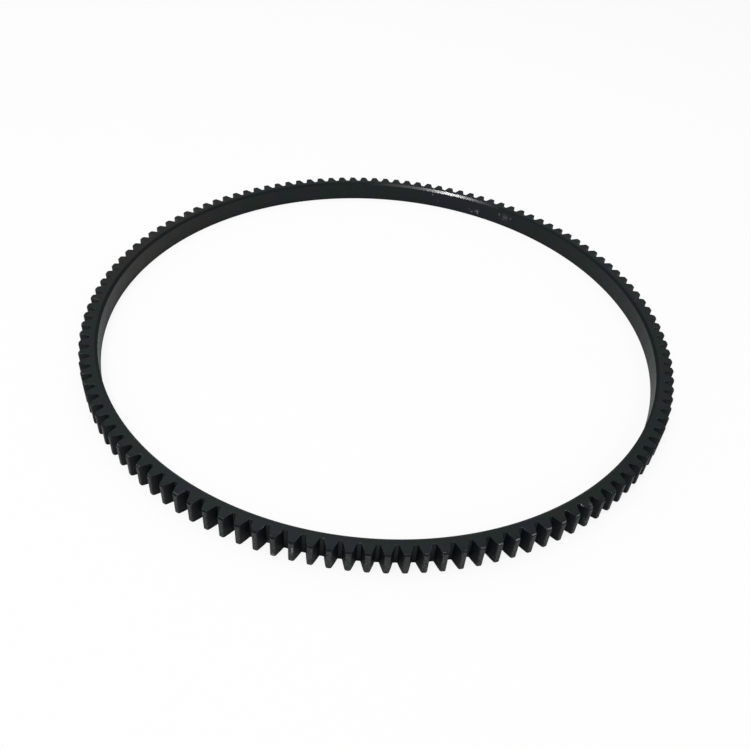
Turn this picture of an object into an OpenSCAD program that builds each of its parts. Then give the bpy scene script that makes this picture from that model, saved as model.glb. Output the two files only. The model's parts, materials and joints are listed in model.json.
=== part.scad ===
// Ring gear of an engine flywheel: a thin steel ring with straight involute teeth
// round the outside. It is pressed onto the rim of the flywheel and the pinion of
// the starter motor drives it. Millimetres, Z along the axis, lower face at Z = 0,
// with the middle of one tooth on the X axis.

/* [Teeth] */
// Number of teeth
teeth = 127; // [90:1:180]
// Module: pitch diameter divided by the number of teeth
gear_module = 3; // [2:0.25:5]
// Pressure angle of the involute flanks, in degrees
pressure_angle = 20; // [14.5:0.5:25]
// Height of a tooth above the pitch circle, in modules
addendum_factor = 1; // [0.8:0.05:1.1]
// Depth of a gap below the pitch circle, in modules
dedendum_factor = 1.16; // [1:0.01:1.25]
// Fillet radius at the foot of a tooth, in modules
fillet_factor = 0.2; // [0.1:0.05:0.25]
// Thickness that a tooth has beyond half the pitch, on the pitch circle
thickening = 0.1; // [-0.2:0.05:0.3]

/* [Ring] */
// Thickness of the ring between the bore and the floor of the gaps
rim = 4.6; // [4:0.1:30]
// Width of the ring and its teeth along the axis
face_width = 14.8; // [8:0.1:30]

/* [Edges] */
// Lead-in chamfer of the bore, on the upper face
lead_in = 1.6; // [0.5:0.1:3]
// Broken edge of the bore, on the lower face
bore_edge = 0.2; // [0.1:0.1:1.5]
// Chamfer of the tooth tips on the upper face, where the pinion slides in
tooth_end = 1; // [0.2:0.1:1.5]
// Broken edge of the tooth tips, on the lower face
lower_end = 0.2; // [0.1:0.1:1.5]
// Bevel along the two long edges of a tooth's tip
tip_edge = 0.35; // [0.1:0.05:0.5]

/* [Hidden] */
$fn = 360;

// A half and a quarter turn, in degrees
half_turn = 180;
quarter_turn = half_turn / 2;

pitch_r = teeth * gear_module / 2;
base_r = pitch_r * cos(pressure_angle);
tip_r = pitch_r + addendum_factor * gear_module;
root_r = pitch_r - dedendum_factor * gear_module;
bore_r = root_r - rim;
fillet_r = fillet_factor * gear_module;
tooth_thickness = PI * gear_module / 2 + thickening;

// Straight pieces that stand for one flank and for one fillet
flank_steps = 3;
fillet_steps = 3;
// How far the cutter of a gap reaches past the tips and past the two faces
overrun = 1;

function degrees(radians) = radians * half_turn / PI;
function polar(r, angle) = r * [cos(angle), sin(angle)];
function mirrored(points) = [for (i = [len(points) - 1:-1:0]) [points[i].x, -points[i].y]];

// Involute of an angle, and the angle between flank and radius at radius r
function involute(angle) = degrees(tan(angle)) - angle;
function flank_slope(r) = acos(base_r / r);

// Half the angle that a tooth fills at radius r, and half the gap beside it
function half_tooth(r) =
    degrees(tooth_thickness / 2 / pitch_r) + involute(pressure_angle) - involute(flank_slope(r));
function half_gap(r) = half_turn / teeth - half_tooth(r);

// One side of a gap, from its bevelled mouth down the flank into the fillet
corner_r = tip_r - tip_edge;
mouth_r = tip_r + overrun;
mouth = polar(mouth_r, half_gap(corner_r) + degrees((mouth_r - corner_r) / mouth_r));

foot_r = root_r + fillet_r * (1 - sin(flank_slope(root_r)));
flank = [
    for (i = [0:flank_steps])
        let (r = corner_r + (foot_r - corner_r) * i / flank_steps)
            polar(r, half_gap(r))
];

foot_slope = flank_slope(foot_r) + half_gap(foot_r);
fillet_centre = polar(foot_r, half_gap(foot_r)) + fillet_r * [sin(foot_slope), -cos(foot_slope)];
fillet_start = quarter_turn + foot_slope;
fillet_end = half_turn + atan2(fillet_centre.y, fillet_centre.x);
fillet = [
    for (i = [1:fillet_steps])
        fillet_centre + polar(fillet_r, fillet_start + (fillet_end - fillet_start) * i / fillet_steps)
];

gap_side = concat([mouth], flank, fillet);

// Space between two teeth, lying along the X axis
module tooth_gap() {
    translate([0, 0, -overrun])
        linear_extrude(face_width + 2 * overrun)
            polygon(concat(gap_side, mirrored(gap_side)));
}

// Turned ring before its teeth are cut: bore, faces and the chamfers of all edges
module blank() {
    rotate_extrude()
        polygon([
            [bore_r, bore_edge],
            [bore_r + bore_edge, 0],
            [tip_r - lower_end, 0],
            [tip_r, lower_end],
            [tip_r, face_width - tooth_end],
            [tip_r - tooth_end, face_width],
            [bore_r + lead_in, face_width],
            [bore_r, face_width - lead_in]
        ]);
}

module ring_gear() {
    color([0.16, 0.18, 0.18])
        difference() {
            blank();
            for (i = [0:teeth - 1])
                rotate((2 * i + 1) * half_turn / teeth)
                    tooth_gap();
        }
}

ring_gear();
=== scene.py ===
import json
from math import acos, atan2, cos, hypot, pi, radians, sin, tan
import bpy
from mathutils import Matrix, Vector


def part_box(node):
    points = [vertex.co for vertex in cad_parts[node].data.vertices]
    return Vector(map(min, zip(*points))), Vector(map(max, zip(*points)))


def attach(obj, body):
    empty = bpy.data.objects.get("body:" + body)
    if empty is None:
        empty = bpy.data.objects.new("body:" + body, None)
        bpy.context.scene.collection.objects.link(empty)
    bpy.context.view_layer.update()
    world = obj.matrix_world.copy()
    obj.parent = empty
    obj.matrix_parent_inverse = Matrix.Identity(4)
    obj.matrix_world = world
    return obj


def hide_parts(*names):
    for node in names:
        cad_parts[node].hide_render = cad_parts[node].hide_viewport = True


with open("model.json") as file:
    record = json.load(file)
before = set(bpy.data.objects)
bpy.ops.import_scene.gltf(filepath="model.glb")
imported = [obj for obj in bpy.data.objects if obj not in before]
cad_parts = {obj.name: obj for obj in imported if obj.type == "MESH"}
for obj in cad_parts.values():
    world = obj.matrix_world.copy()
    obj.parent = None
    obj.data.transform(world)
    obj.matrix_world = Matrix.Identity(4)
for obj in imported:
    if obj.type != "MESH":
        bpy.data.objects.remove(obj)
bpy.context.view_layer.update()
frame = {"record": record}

from types import SimpleNamespace

import bpy
from bpy.props import FloatProperty, FloatVectorProperty, IntProperty, PointerProperty
from bpy.types import Operator, Panel, PropertyGroup
from mathutils import Matrix, Vector

bl_info = {
    "name": "Flywheel ring gear",
    "version": (1, 0, 0),
    "blender": (4, 5, 0),
    "location": "3D View > Sidebar > Ring gear",
    "description": "Models a flywheel ring gear of blackened steel and the studio it lies in",
    "category": "Add Mesh",
}

MM = 0.001

# Main sizes of the ring, taken from the frame
LOW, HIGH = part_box("ring_gear")
MOUNTS = {mount["name"]: mount for mount in frame["record"]["mounts"]}
TIP_R = HIGH.x
FACE_WIDTH = HIGH.z - LOW.z
BORE_MM = MOUNTS["bore"]["dims"]["r_mm"]
BORE_R = BORE_MM * MM

# Two lengths, or two angles in radians, closer than this are the same place on a mesh
SAME = 0.002 * MM
SAME_ANGLE = 1e-5

# Slack with which edges and faces are found near a place, narrow and wide
SLACK = 0.02 * MM
WIDE_SLACK = 0.1 * MM

# Straight steps of the mesh: under a tooth, along a gap's floor, up a flank, in a fillet
# and across a worn edge
FOOT_STEPS, FLOOR_STEPS, FLANK_STEPS, FILLET_STEPS, WORN_STEPS = 2, 3, 5, 3, 2

# Edges sharper than the first angle are worn, and those under the second are shaded smooth
WORN_ANGLE, SMOOTH_ANGLE = radians(38), radians(35)

# Material slots of the worn edges and of the lead-in chamfer, after the oxide in slot 0
EDGE_SLOT, LEAD_IN_SLOT = 1, 2

# Dents that handling left: number of the tooth, shift across it, radius and height,
# and half the size across, along and deep, in mm
DENTS = [
    (92, 0.8, 193.45, 8.6, 0.6, 2.8, 0.3),
    (109, -2.9, 188.9, 14.5, 0.5, 2.2, 0.45),
    (109, -0.4, 193.2, 3.4, 1.2, 2.2, 0.45),
    (110, 0.3, 193.3, 2.6, 0.9, 1.6, 0.35),
]
# Dents this near to the upper face, in mm, are sunk into it and not into the tip
END_ZONE = 1

# Places where the oxide is rubbed, and two painted glints (the rows at 256.5 and 258 degrees):
# angle in degrees, radius, height and reach in mm, strength
SCUFFS_AND_GLINTS = [
    (70.2, BORE_MM, 5.4, 1.0, 0.4),
    (69.4, BORE_MM, 3.8, 0.9, 0.8),
    (67.9, BORE_MM, 5.2, 1.6, 0.8),
    (67.6, BORE_MM, 3.6, 0.9, 0.6),
    (58.3, BORE_MM, 8.8, 1.2, 0.5),
    (60.0, BORE_MM, 8.2, 3.4, 0.3),
    (61.6, BORE_MM, 9.4, 1.1, 0.5),
    (80.6, BORE_MM, 10.6, 1.0, 0.6),
    (79.0, BORE_MM, 5.6, 0.8, 0.4),
    # Painted glints: at the foot of the gap between teeth 90 and 91, and at the foot of tooth 91
    (256.5, 187.02, 1.6, 0.8, 1.0),
    (258.0, 193.4, 0.9, 1.6, 0.9),
    (309.4, 193.5, 4.5, 4.0, 0.5),
    (309.6, 191.0, 14.8, 1.8, 0.35),
]

# Arcs of painted highlight on the chamfers at the upper ends of the teeth, in the worn steel
# colour: angle in degrees, radius and height in mm, distances in mm at which they begin and end to
# fade, strength
PAINTED_HIGHLIGHT_ENDS = [
    (299, 192.7, 14.4, 22, 44, 1.0),
    (231, 192.7, 14.4, 10, 30, 0.5),
]

# Middles of the larger patches of the finish: angle in degrees, radius and height in mm
WARM_PATCH = (160, 187, 10)
BLUE_PATCH = (73, 182, 8)
OIL_PATCH = (80, 184, 14)

# Soft boxes: name, place, width and height in metres, watts and the point they look at
SOFT_BOXES = [
    ("top_box", (-0.3, 0.2, 1.6), (1.2, 1.2), 9, (0, 0, 0)),
    ("front_box", (0.9, -1.3, 1.1), (0.8, 0.8), 5, (0, 0, 0)),
    ("streak_box", (-0.42, -0.55, 1.45), (0.11, 0.12), 5, (0.05, 0.17, 0)),
]

# Plain white, its share in the floor that the camera sees, and the floor's size in metres
WHITE = (1, 1, 1, 1)
FLOOR_GLOW = 0.86
FLOOR_SIZE = 12

# Strength of the sky's light at the horizon, and what it gains towards the top
SKY_LOW, SKY_GAIN = 0.2, 0.4

# Width of the camera's sensor in mm, to which the lens setting belongs
SENSOR_WIDTH = 36


class ToothSettings(PropertyGroup):
    """Sizes of the teeth and of the edges of the ring"""
    count: IntProperty(name="Teeth", description="Number of teeth", default=127, min=90, max=180)
    gear_module: FloatProperty(
        name="Module", description="Pitch diameter divided by the number of teeth",
        default=3 * MM, unit="LENGTH")
    pressure_angle: FloatProperty(
        name="Pressure angle", description="Angle of the flanks on the pitch circle",
        default=radians(20), subtype="ANGLE")
    dedendum: FloatProperty(
        name="Dedendum", description="Depth of a gap below the pitch circle",
        default=3.48 * MM, unit="LENGTH")
    thickening: FloatProperty(
        name="Thickening", description="Thickness of a tooth beyond half the pitch",
        default=0.1 * MM, unit="LENGTH")
    fillet: FloatProperty(
        name="Fillet", description="Radius at the foot of a tooth",
        default=0.6 * MM, unit="LENGTH")
    tip_edge: FloatProperty(
        name="Tip edge", description="Bevel along the long edges of a tip",
        default=0.35 * MM, unit="LENGTH")
    tooth_end: FloatProperty(
        name="Tooth end", description="Chamfer of the tips on the upper face",
        default=1 * MM, unit="LENGTH")
    lower_end: FloatProperty(
        name="Lower end", description="Broken edge of the tips on the lower face",
        default=0.2 * MM, unit="LENGTH")
    lead_in: FloatProperty(
        name="Lead-in", description="Chamfer of the bore on the upper face",
        default=1.6 * MM, unit="LENGTH")
    bore_edge: FloatProperty(
        name="Bore edge", description="Broken edge of the bore on the lower face",
        default=0.2 * MM, unit="LENGTH")
    worn_edge: FloatProperty(
        name="Worn edge", description="Rounding of every sharp edge",
        default=0.08 * MM, unit="LENGTH")


class FinishSettings(PropertyGroup):
    """Colours and gloss of the blackened steel"""
    green_oxide: FloatVectorProperty(
        name="Green oxide", description="Black oxide with a green tint",
        default=(0.0070, 0.0138, 0.0115), subtype="COLOR", size=3, min=0, max=1)
    blue_oxide: FloatVectorProperty(
        name="Blue oxide", description="Black oxide with a blue tint",
        default=(0.0090, 0.0116, 0.0172), subtype="COLOR", size=3, min=0, max=1)
    brown_oxide: FloatVectorProperty(
        name="Brown oxide", description="Black oxide with a brown tint",
        default=(0.0135, 0.0130, 0.0115), subtype="COLOR", size=3, min=0, max=1)
    # Dark oxide colour that paints shade in the gaps, on the lower tooth ends and on the lead-in
    # chamfer
    deep_oxide: FloatVectorProperty(
        name="Oxide and painted shade", description="Dark oxide, used as painted shade in the gaps, on the tooth ends and on the lead-in chamfer",
        default=(0.0046, 0.0070, 0.0092), subtype="COLOR", size=3, min=0, max=1)
    tip_steel: FloatVectorProperty(
        name="Tip steel", description="Thinner, redder oxide on the tips of the teeth",
        default=(0.066, 0.060, 0.061), subtype="COLOR", size=3, min=0, max=1)
    green_tip: FloatVectorProperty(
        name="Green tip", description="Thinner oxide on the tips of the greener teeth",
        default=(0.045, 0.058, 0.052), subtype="COLOR", size=3, min=0, max=1)
    # Bright steel colour, used for rubbed steel and also for painted highlights and glints
    worn_steel: FloatVectorProperty(
        name="Worn steel and highlight", description="Bright steel where the oxide is rubbed through, also used for painted highlights and glints",
        default=(0.24, 0.26, 0.28), subtype="COLOR", size=3, min=0, max=1)
    roughness: FloatProperty(
        name="Roughness", description="Roughness of the oiled oxide", default=0.42, min=0, max=1)
    oil_roughness: FloatProperty(
        name="Oil roughness", description="Roughness of the film of oil on the lead-in chamfer",
        default=0.2, min=0, max=1)


class StudioSettings(PropertyGroup):
    """Camera and lights of the studio"""
    lens: FloatProperty(
        name="Lens", description="Focal length on a 36 mm sensor", default=36.755, unit="CAMERA")
    distance: FloatProperty(
        name="Distance", description="From the camera to the middle of the lower face",
        default=526.65 * MM, unit="LENGTH")
    azimuth: FloatProperty(
        name="Azimuth", description="Turn of the camera round the ring",
        default=radians(1.0694), subtype="ANGLE")
    elevation: FloatProperty(
        name="Elevation", description="Height of the camera above the ring",
        default=radians(38.379), subtype="ANGLE")
    pan: FloatProperty(
        name="Pan", description="Turn of the camera to the side", default=-0.016, subtype="ANGLE")
    tilt: FloatProperty(
        name="Tilt", description="Turn of the camera upwards", default=-0.0337, subtype="ANGLE")
    roll: FloatProperty(
        name="Roll", description="Turn of the camera about its own axis",
        default=0.0913, subtype="ANGLE")
    shift_x: FloatProperty(
        name="Shift X", description="Shift of the frame sideways", default=-0.0217)
    shift_y: FloatProperty(
        name="Shift Y", description="Shift of the frame upwards", default=-0.0239)
    light: FloatProperty(
        name="Light", description="Strength of the soft boxes", default=1, min=0)


class RingGearSettings(PropertyGroup):
    """All settings of the ring gear and its studio"""
    tooth: PointerProperty(type=ToothSettings, name="Teeth")
    finish: PointerProperty(type=FinishSettings, name="Finish")
    studio: PointerProperty(type=StudioSettings, name="Studio")


def settings():
    return bpy.context.scene.ring_gear


def involute(angle):
    """Involute function of an angle"""
    return tan(angle) - angle


def pitch_radius():
    tooth = settings().tooth
    return tooth.count * tooth.gear_module / 2


def root_radius():
    return pitch_radius() - settings().tooth.dedendum


def flank_slope(r):
    """Angle between the flank and the radius at radius r"""
    return acos(pitch_radius() * cos(settings().tooth.pressure_angle) / r)


def half_tooth(r):
    """Half the angle that a tooth fills at radius r"""
    tooth = settings().tooth
    half_on_pitch = (pi * tooth.gear_module / 2 + tooth.thickening) / 2 / pitch_radius()
    return half_on_pitch + involute(tooth.pressure_angle) - involute(flank_slope(r))


def object_mode():
    if bpy.context.object and bpy.context.object.mode != "OBJECT":
        bpy.ops.object.mode_set(mode="OBJECT")


def clear_selection():
    """Leaves edit mode and deselects every object, before a new one is added."""
    object_mode()
    bpy.ops.object.select_all(action="DESELECT")


def focus(piece):
    """Makes a piece the only selected and the active one."""
    clear_selection()
    piece.select_set(True)
    bpy.context.view_layer.objects.active = piece


def choose(piece, kind, test):
    """Selects the vertices, edges or polygons whose corners all pass the test, in edit mode."""
    mode = {"vertices": "VERT", "edges": "EDGE", "polygons": "FACE"}[kind]
    bpy.ops.object.mode_set(mode="EDIT")
    bpy.ops.mesh.select_mode(type=mode)
    bpy.ops.mesh.select_all(action="DESELECT")
    bpy.ops.object.mode_set(mode="OBJECT")
    points = [vertex.co for vertex in piece.data.vertices]
    for item in getattr(piece.data, kind):
        corners = [item.index] if kind == "vertices" else item.vertices
        item.select = all(test(points[i]) for i in corners)
    bpy.ops.object.mode_set(mode="EDIT")


def at(value, place, slack=SAME):
    return abs(value - place) < slack


def reach(point):
    """Distance of a point from the axis"""
    return hypot(point.x, point.y)


def turn(point):
    """Angle of a point round the axis, to either side of the X axis"""
    return abs(atan2(point.y, point.x))


def add_modifier(piece, kind, **values):
    """Adds a modifier, sets it up and applies it."""
    focus(piece)
    bpy.ops.object.modifier_add(type=kind)
    modifier = piece.modifiers[-1]
    for name, value in values.items():
        setattr(modifier, name, value)
    bpy.ops.object.modifier_apply(modifier=modifier.name)


def model_rim_section(root_r):
    """Section of the rim between bore and gap floor, as a loop of edges on the XZ plane."""
    tooth = settings().tooth
    clear_selection()
    middle = ((BORE_R + root_r) / 2, 0, FACE_WIDTH / 2)
    bpy.ops.mesh.primitive_plane_add(size=1, location=middle, rotation=(pi / 2, 0, 0))
    piece = bpy.context.object
    piece.scale = (root_r - BORE_R, FACE_WIDTH, 1)
    bpy.ops.object.transform_apply(location=True, rotation=True, scale=True)
    for height, width in ((FACE_WIDTH, tooth.lead_in), (0, tooth.bore_edge)):
        choose(piece, "vertices", lambda p: at(p.x, BORE_R) and at(p.z, height))
        bpy.ops.mesh.bevel(offset=width, affect="VERTICES", clamp_overlap=False)
    bpy.ops.mesh.select_all(action="SELECT")
    bpy.ops.mesh.delete(type="ONLY_FACE")
    return piece


def spin_section(piece, start, end, steps):
    """Carries the section on from one angle to the next."""
    choose(piece, "edges", lambda p: at(turn(p), start, SAME_ANGLE))
    bpy.ops.mesh.spin(steps=steps, angle=end - start, center=(0, 0, 0), axis=(0, 0, 1))


def raise_tooth(piece, root_r):
    """Extrudes the root face out to the tip in rows, each as thick as the involute is there."""
    foot = half_tooth(root_r)
    choose(piece, "polygons", lambda p: at(reach(p), root_r) and turn(p) < foot + SAME_ANGLE)
    r, half = root_r, root_r * sin(foot)
    for row in range(1, FLANK_STEPS + 1):
        next_r = root_r + (TIP_R - root_r) * row / FLANK_STEPS
        next_half = next_r * sin(half_tooth(next_r))
        bpy.ops.mesh.extrude_region_move(TRANSFORM_OT_translate={"value": (next_r - r, 0, 0)})
        bpy.ops.transform.resize(value=(1, next_half / half, 1), center_override=(next_r, 0, 0))
        r, half = next_r, next_half
    choose(piece, "polygons", lambda p: at(p.y, 0))
    bpy.ops.mesh.delete(type="FACE")


def shape_tooth_edges(piece, root_r):
    """Fillet at the foot, chamfers at both ends of the tip and bevel along its side."""
    tooth = settings().tooth
    foot = half_tooth(root_r)
    corner = pi / 2 - flank_slope(root_r) - pi / tooth.count + foot
    choose(piece, "edges", lambda p: at(reach(p), root_r) and at(turn(p), foot, SAME_ANGLE))
    bpy.ops.mesh.bevel(
        offset=tooth.fillet * tan(corner / 2), segments=FILLET_STEPS, affect="EDGES",
        clamp_overlap=False)
    for height, width in ((0, tooth.lower_end), (FACE_WIDTH, tooth.tooth_end)):
        choose(piece, "edges", lambda p: reach(p) > TIP_R - WIDE_SLACK and at(p.z, height))
        bpy.ops.mesh.bevel(offset=width, affect="EDGES", clamp_overlap=False)
    side = TIP_R * sin(half_tooth(TIP_R)) - SLACK
    inner = TIP_R - tooth.tooth_end - WIDE_SLACK
    choose(piece, "edges", lambda p: p.x > inner and abs(p.y) > side)
    bpy.ops.mesh.bevel(offset=tooth.tip_edge, affect="EDGES", clamp_overlap=False)


def paint_lead_in(piece):
    """Gives the finely turned lead-in chamfer its own finish."""
    lead_in = settings().tooth.lead_in
    slope = BORE_R + lead_in - FACE_WIDTH
    choose(piece, "polygons", lambda p: (
        at(reach(p) - p.z, slope, SLACK) and p.z > FACE_WIDTH - lead_in))
    piece.active_material_index = LEAD_IN_SLOT
    bpy.ops.object.material_slot_assign()


def cut_dents(piece, fresh):
    """Cuts the dents with small flattened balls and leaves fresh steel in them."""
    pitch = 2 * pi / settings().tooth.count
    for tooth, shift, radius, height, across, along, deep in DENTS:
        clear_selection()
        bpy.ops.mesh.primitive_ico_sphere_add(subdivisions=2, radius=MM)
        cutter = bpy.context.object
        on_end = height > FACE_WIDTH / MM - END_ZONE
        cutter.scale = (along, across, deep) if on_end else (deep, across, along)
        cutter.location = (radius * MM, shift * MM, height * MM)
        bpy.ops.object.transform_apply(location=True, rotation=False, scale=True)
        cutter.rotation_euler = (0, 0, tooth * pitch)
        bpy.ops.object.transform_apply(location=False, rotation=True, scale=False)
        cutter.data.materials.append(fresh)
        add_modifier(
            piece, "BOOLEAN", operation="DIFFERENCE", object=cutter, solver="EXACT",
            material_mode="TRANSFER")
        focus(cutter)
        bpy.ops.object.delete()


class Socket:
    """Output of a node, on which sums are written as Python expressions."""

    def __init__(self, paint, link):
        self.paint = paint
        self.link = link

    def maths(self, operation, *values, clamp=False):
        own = {"operation": operation, "use_clamp": clamp}
        return self.paint.node("ShaderNodeMath", own, *values)

    def __add__(self, other):
        return self.maths("ADD", self, other)

    def __radd__(self, other):
        return self.maths("ADD", other, self)

    def __sub__(self, other):
        return self.maths("SUBTRACT", self, other)

    def __rsub__(self, other):
        return self.maths("SUBTRACT", other, self)

    def __mul__(self, other):
        return self.maths("MULTIPLY", self, other)

    def __rmul__(self, other):
        return self.maths("MULTIPLY", other, self)

    def rises(self, low, high):
        """0 below low, 1 above high, and a straight rise between them."""
        return self.maths("MULTIPLY", self - low, 1 / (high - low), clamp=True)

    def falls(self, low, high):
        """1 below low, 0 above high, and a straight fall between them."""
        return 1 - self.rises(low, high)


class Paint:
    """The nodes of one material, or of the world."""

    def __init__(self, owner, shader="Principled BSDF", place="Object"):
        owner.use_nodes = True
        self.owner = owner
        self.tree = owner.node_tree
        self.shader = self.tree.nodes[shader]
        self.place = self.node("ShaderNodeTexCoord", {}, output=place)

    def node(self, kind, values, *inputs, output=0, **named):
        """Adds a node, sets its own values first and then its sockets by order or by name."""
        made = self.tree.nodes.new(kind)
        for name, value in values.items():
            setattr(made, name, value)
        for i, value in enumerate(inputs):
            self.fill(made.inputs[i], value)
        self.fill_named(made, named)
        return Socket(self, made.outputs[output])

    def fill(self, socket, value):
        if isinstance(value, Socket):
            self.tree.links.new(value.link, socket)
        else:
            socket.default_value = value

    def fill_named(self, node, values):
        """Fills sockets by name, with _ where the name of a socket has a space."""
        for name, value in values.items():
            self.fill(node.inputs[name.replace("_", " ")], value)

    def noise(self, size, detail=3.0, stretch=(1, 1, 1)):
        """Noise whose patches are about as long as size, in metres."""
        place = self.node("ShaderNodeMapping", {}, Vector=self.place, Scale=stretch)
        return self.node(
            "ShaderNodeTexNoise", {}, Vector=place, Scale=1 / size, Detail=detail, Roughness=0.6)

    def bump(self, height, strength, distance):
        return self.node(
            "ShaderNodeBump", {}, Strength=strength, Distance=distance, Height=height)

    def blend(self, mask, low, high):
        """Colour that goes from low to high as the mask goes from 0 to 1."""
        made = self.tree.nodes.new("ShaderNodeMix")
        made.data_type = "RGBA"
        for name, value in (("Factor_Float", mask), ("A_Color", low), ("B_Color", high)):
            socket = next(s for s in made.inputs if s.identifier == name)
            self.fill(socket, (*value, 1) if isinstance(value, tuple) else value)
        return Socket(self, next(s for s in made.outputs if s.identifier == "Result_Color"))

    def finish(self, **values):
        """Fills the sockets of the shader and hands back the material or the world."""
        self.fill_named(self.shader, values)
        return self.owner


def ring_places(paint):
    """Radius and height of a point on the ring."""
    flat = paint.node("ShaderNodeVectorMath", {"operation": "MULTIPLY"}, paint.place, (1, 1, 0))
    radius = paint.node("ShaderNodeVectorMath", {"operation": "LENGTH"}, flat, output="Value")
    height = paint.node("ShaderNodeSeparateXYZ", {}, paint.place, output="Z")
    return radius, height


def away_from(paint, angle, radius, height):
    """Distance from one place, given by its angle in degrees and its radius and height in mm."""
    a = radians(angle)
    middle = (radius * cos(a) * MM, radius * sin(a) * MM, height * MM)
    return paint.node(
        "ShaderNodeVectorMath", {"operation": "DISTANCE"}, paint.place, middle, output="Value")


def spot(paint, angle, radius, height, size):
    """Ragged mask of one place."""
    ragged = (paint.noise(0.9 * MM, detail=5.0, stretch=(1, 1, 0.6)) - 0.5) * (4 * size * MM)
    return (away_from(paint, angle, radius, height) + ragged).falls(0.2 * size * MM, size * MM)


def ring_parts(paint):
    """Masks of the parts of the ring, each 1 on its part and 0 away from it."""
    radius, height = ring_places(paint)
    slope = TIP_R + FACE_WIDTH - settings().tooth.tooth_end
    face = height.rises(FACE_WIDTH - 0.12 * MM, FACE_WIDTH - 0.03 * MM)
    toothed = radius.rises(root_radius() - 0.3 * MM, root_radius() + 0.5 * MM)
    tips = radius.rises(TIP_R - 0.3 * MM, TIP_R - 0.1 * MM)
    return SimpleNamespace(
        face=face,
        wall=radius.falls(BORE_R + 0.05 * MM, BORE_R + 0.3 * MM),
        gaps=toothed * (1 - face),
        tips=tips,
        bevels=radius.rises(TIP_R - 0.45 * MM, TIP_R - 0.3 * MM) * (1 - tips),
        ends=(radius + height).rises(slope - 0.12 * MM, slope - 0.02 * MM),
        ends_top=height.rises(FACE_WIDTH - 0.75 * MM, FACE_WIDTH - 0.35 * MM),
        outer_face=radius.rises(TIP_R - 3.2 * MM, TIP_R - 0.9 * MM) * face)


def oxide_tints(paint):
    """Oxide whose tint drifts between green, blue and brown."""
    finish = settings().finish
    blue = tuple(finish.blue_oxide)
    cold = paint.blend(paint.noise(13 * MM).rises(0.46, 0.6), tuple(finish.green_oxide), blue)
    warm = away_from(paint, *WARM_PATCH).falls(50 * MM, 110 * MM)
    brownish = (paint.noise(9 * MM) + warm * 0.2).rises(0.52, 0.7)
    bluish = away_from(paint, *BLUE_PATCH).falls(18 * MM, 30 * MM)
    tint = paint.blend(brownish, cold, tuple(finish.brown_oxide))
    return paint.blend(bluish * 0.8, tint, blue)


def oxide_coats(paint, part, grain, streaks):
    """Tinted oxide with its coats: painted shade in the gaps and on the lower tooth ends, thin on
    the tips, rubbed through in places, with painted highlights on the upper ends of some teeth and
    two painted glints.
    """
    finish = settings().finish
    deep, worn = tuple(finish.deep_oxide), tuple(finish.worn_steel)
    thin = paint.blend(
        paint.noise(11 * MM).rises(0.42, 0.58), tuple(finish.tip_steel), tuple(finish.green_tip))
    speckle = (paint.noise(0.9 * MM, detail=4.0) * 0.75 + streaks * 0.25).rises(0.44, 0.58)
    bright = sum(
        away_from(paint, *place).falls(near * MM, far * MM) * strength
        for *place, near, far, strength in PAINTED_HIGHLIGHT_ENDS)
    rubbed = sum(spot(paint, *place) * strength for *place, strength in SCUFFS_AND_GLINTS)
    colour = oxide_tints(paint)
    for mask, coat in (
            # Painted shade in the gaps between the teeth; the outer band of the upper face is
            # darkened too
            (part.gaps + part.outer_face * 0.6, deep),
            (part.tips * (speckle * 0.85 + 0.15), thin),
            (part.bevels * (1 - part.ends) * speckle, thin),
            # Painted shade on the lower part of the chamfers at the upper ends of the teeth
            (part.ends * (1 - part.ends_top), deep),
            # Painted highlight on the upper part of the tooth-end chamfers, on the teeth near 299
            # and 231 degrees
            (part.ends * part.ends_top * bright * (speckle * 0.6 + 0.2), worn),
            # Rubbed spots, and two painted glints, in the worn steel colour
            (rubbed * grain.rises(0.3, 0.6), worn)):
        colour = paint.blend(mask, colour, coat)
    return colour


def black_oxide():
    """Oiled black oxide on turned and hobbed steel."""
    paint = Paint(bpy.data.materials.new("black_oxide_steel"))
    part = ring_parts(paint)
    grain = paint.noise(0.4 * MM, detail=2.0)
    streaks = paint.noise(0.45 * MM, stretch=(1, 1, 0.12))
    turning = paint.node(
        "ShaderNodeTexWave", {"wave_type": "RINGS", "rings_direction": "Z"}, Vector=paint.place,
        Scale=1 / (3 * MM), Distortion=1.5, Detail=2.0)
    feed = paint.noise(0.35 * MM, stretch=(0.04, 0.04, 1))
    relief = turning * part.face * 0.3 + feed * part.wall + streaks * part.tips + grain * 0.7
    drift, fine = 0.16, 0.1
    evened = settings().finish.roughness - (drift + fine) / 2
    rough = paint.noise(6 * MM) * drift + grain * fine + part.gaps * 0.1 + evened
    return paint.finish(
        Base_Color=oxide_coats(paint, part, grain, streaks), Roughness=rough, Metallic=0.0,
        Specular_IOR_Level=0.14, Normal=paint.bump(relief, 0.25, 0.02 * MM))


def lead_in_cut():
    """Finely turned chamfer, painted dark as painted shade away from the patch of oil, and glossy
    under the film of oil left on it.
    """
    finish = settings().finish
    paint = Paint(bpy.data.materials.new("lead_in_steel"))
    oiled = away_from(paint, *OIL_PATCH).falls(32 * MM, 60 * MM)
    # Painted shade: dark oxide colour over the chamfer, lighter under the patch of oil
    colour = paint.blend(oiled * 0.6 + 0.4, tuple(finish.deep_oxide), oxide_tints(paint))
    grain = paint.noise(0.4 * MM, detail=2.0)
    return paint.finish(
        Base_Color=colour, Roughness=0.6, Specular_IOR_Level=0.1, Coat_Weight=oiled,
        Coat_Roughness=finish.oil_roughness, Normal=paint.bump(grain, 0.06, 0.01 * MM))


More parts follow.
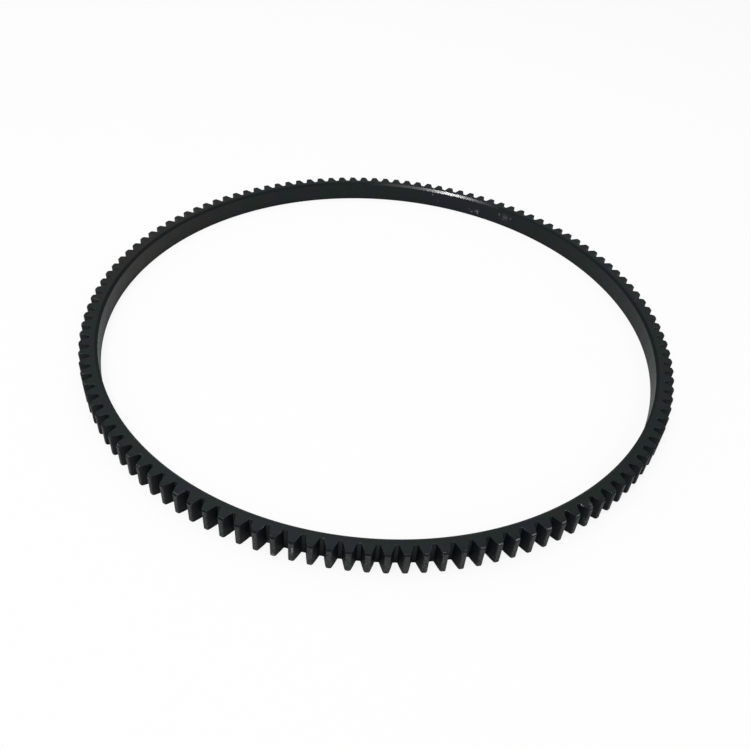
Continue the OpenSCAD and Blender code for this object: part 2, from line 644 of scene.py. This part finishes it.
def worn_edges():
    """Edges where the oxide is rubbed through in places."""
    finish = settings().finish
    paint = Paint(bpy.data.materials.new("worn_edge_steel"))
    radius, _ = ring_places(paint)
    toothed = radius.rises(BORE_R + 2.5 * MM, BORE_R + 4 * MM)
    rubbed = paint.noise(5 * MM, detail=4.0).rises(0.5, 0.72) * toothed
    colour = paint.blend(rubbed, tuple(finish.green_oxide), tuple(finish.worn_steel))
    rough = 0.85 - toothed * 0.4 - rubbed * 0.12
    return paint.finish(
        Base_Color=colour, Roughness=rough, Metallic=rubbed * 0.5, Specular_IOR_Level=0.2)


def fresh_steel():
    """Steel laid bare in the dents, already dull again in places."""
    finish = settings().finish
    paint = Paint(bpy.data.materials.new("fresh_steel"))
    bright = paint.noise(0.9 * MM, detail=4.0).rises(0.35, 0.6)
    colour = paint.blend(bright, tuple(finish.tip_steel), tuple(finish.worn_steel))
    return paint.finish(
        Base_Color=colour, Roughness=0.5 - bright * 0.12, Metallic=bright * 0.5,
        Specular_IOR_Level=0.4)


class RINGGEAR_OT_ring(Operator):
    """Model the ring: half a tooth is shaped, mirrored and repeated round the axis"""
    bl_idname = "ringgear.ring"
    bl_label = "Ring with its teeth"

    def execute(self, context):
        tooth = settings().tooth
        root_r = root_radius()
        pitch = 2 * pi / tooth.count
        foot = half_tooth(root_r)
        ring = model_rim_section(root_r)
        ring.name = ring.data.name = "ring_with_teeth"
        spin_section(ring, 0, foot, FOOT_STEPS)
        spin_section(ring, foot, pitch / 2, FLOOR_STEPS)
        raise_tooth(ring, root_r)
        shape_tooth_edges(ring, root_r)
        add_modifier(
            ring, "MIRROR", use_axis=(False, True, False), use_mirror_merge=True,
            merge_threshold=SAME)
        self.repeat_tooth(tooth.count, pitch)
        for steel in (black_oxide(), worn_edges(), lead_in_cut()):
            ring.data.materials.append(steel)
        add_modifier(
            ring, "BEVEL", width=tooth.worn_edge, segments=WORN_STEPS, limit_method="ANGLE",
            angle_limit=WORN_ANGLE, use_clamp_overlap=False, material=EDGE_SLOT)
        paint_lead_in(ring)
        cut_dents(ring, fresh_steel())
        focus(ring)
        bpy.ops.object.shade_smooth_by_angle(angle=SMOOTH_ANGLE)
        add_modifier(ring, "WEIGHTED_NORMAL", keep_sharp=True, weight=80)
        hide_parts("ring_gear")
        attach(ring, "root")
        return {"FINISHED"}

    def repeat_tooth(self, count, pitch):
        """Copies the one tooth round the axis and joins the copies."""
        bpy.ops.object.mode_set(mode="EDIT")
        bpy.ops.mesh.select_all(action="SELECT")
        bpy.ops.mesh.spin(
            dupli=True, steps=count - 1, angle=2 * pi - pitch, center=(0, 0, 0), axis=(0, 0, 1))
        bpy.ops.mesh.select_all(action="SELECT")
        bpy.ops.mesh.remove_doubles(threshold=SAME)
        bpy.ops.mesh.normals_make_consistent(inside=False)


def floor_paint():
    """White floor that keeps the shadow of the ring and shows itself white to the camera."""
    paint = Paint(bpy.data.materials.new("white_floor"))
    paint.finish(Base_Color=(0.9, 0.9, 0.9, 1), Roughness=0.8, Specular_IOR_Level=0.1)
    rays = paint.node("ShaderNodeLightPath", {}, output="Is Camera Ray")
    glow = paint.node("ShaderNodeEmission", {}, Color=WHITE, Strength=1.0)
    shaded = Socket(paint, paint.shader.outputs[0])
    mixed = paint.node("ShaderNodeMixShader", {}, rays * FLOOR_GLOW, shaded, glow)
    paint.fill(paint.tree.nodes["Material Output"].inputs["Surface"], mixed)
    return paint.owner


class RINGGEAR_OT_studio(Operator):
    """Set up the white floor, the soft boxes and the camera of the photograph"""
    bl_idname = "ringgear.studio"
    bl_label = "Studio"

    def execute(self, context):
        self.add_floor()
        for name, place, size, watts, target in SOFT_BOXES:
            self.add_soft_box(name, place, size, watts, target)
        self.add_sky(context.scene)
        self.add_camera(context.scene)
        return {"FINISHED"}

    def add_floor(self):
        clear_selection()
        bpy.ops.mesh.primitive_plane_add(size=FLOOR_SIZE, location=(0, 0, LOW.z))
        floor = bpy.context.object
        bpy.ops.object.transform_apply(location=True, rotation=False, scale=False)
        floor.name = "studio_floor"
        floor.data.materials.append(floor_paint())

    def add_soft_box(self, name, place, size, watts, target):
        """One soft box that looks at a point of the ring or at its middle."""
        object_mode()
        bpy.ops.object.light_add(type="AREA", location=place)
        lamp = bpy.context.object
        lamp.name = name
        lamp.data.shape = "RECTANGLE"
        lamp.data.size, lamp.data.size_y = size
        lamp.data.energy = watts * settings().studio.light
        aim = Vector(target) - Vector(place)
        lamp.rotation_euler = aim.to_track_quat("-Z", "Y").to_euler()

    def add_sky(self, scene):
        """Sky that is white to the camera and lights the ring softly, more from above."""
        scene.world = bpy.data.worlds.new("studio_world")
        sky = Paint(scene.world, "Background", "Generated")
        up = sky.node("ShaderNodeSeparateXYZ", {}, sky.place, output="Z")
        seen = sky.node("ShaderNodeLightPath", {}, output="Is Camera Ray")
        light = SKY_LOW + up.rises(0, 0.8) * SKY_GAIN
        sky.finish(Color=WHITE, Strength=seen + (1 - seen) * light)

    def add_camera(self, scene):
        """Camera of the photograph, found by fitting the ring's edges and all its teeth."""
        studio = settings().studio
        sideways = cos(studio.elevation)
        place = studio.distance * Vector((
            sin(studio.azimuth) * sideways, -cos(studio.azimuth) * sideways,
            sin(studio.elevation)))
        facing = (-place).to_track_quat("-Z", "Y").to_matrix().to_4x4()
        pan = Matrix.Rotation(studio.pan, 4, "Y")
        tilt = Matrix.Rotation(studio.tilt, 4, "X")
        roll = Matrix.Rotation(studio.roll, 4, "Z")
        bpy.ops.object.camera_add()
        camera = bpy.context.object
        camera.name = "photo_camera"
        camera.matrix_world = Matrix.Translation(place) @ facing @ (pan @ tilt @ roll)
        camera.data.sensor_width = SENSOR_WIDTH
        camera.data.lens = studio.lens
        camera.data.shift_x, camera.data.shift_y = studio.shift_x, studio.shift_y
        camera.data.clip_start = 0.01
        scene.camera = camera
        scene.view_settings.view_transform = "Standard"


class RINGGEAR_PT_panel(Panel):
    """Ring gear panel in the sidebar"""
    bl_label = "Ring gear"
    bl_space_type = "VIEW_3D"
    bl_region_type = "UI"
    bl_category = "Ring gear"

    def draw(self, context):
        for group in (settings().tooth, settings().finish, settings().studio):
            box = self.layout.box()
            for name in group.__annotations__:
                box.prop(group, name)
        for step in STEPS:
            self.layout.operator(step.bl_idname)


STEPS = [RINGGEAR_OT_ring, RINGGEAR_OT_studio]
CLASSES = [
    ToothSettings, FinishSettings, StudioSettings, RingGearSettings, *STEPS, RINGGEAR_PT_panel]


def register():
    for item in CLASSES:
        bpy.utils.register_class(item)
    bpy.types.Scene.ring_gear = PointerProperty(type=RingGearSettings)


def unregister():
    del bpy.types.Scene.ring_gear
    for item in reversed(CLASSES):
        bpy.utils.unregister_class(item)


def main():
    register()
    bpy.ops.ringgear.ring()
    bpy.ops.ringgear.studio()


if __name__ == "__main__":
    main()
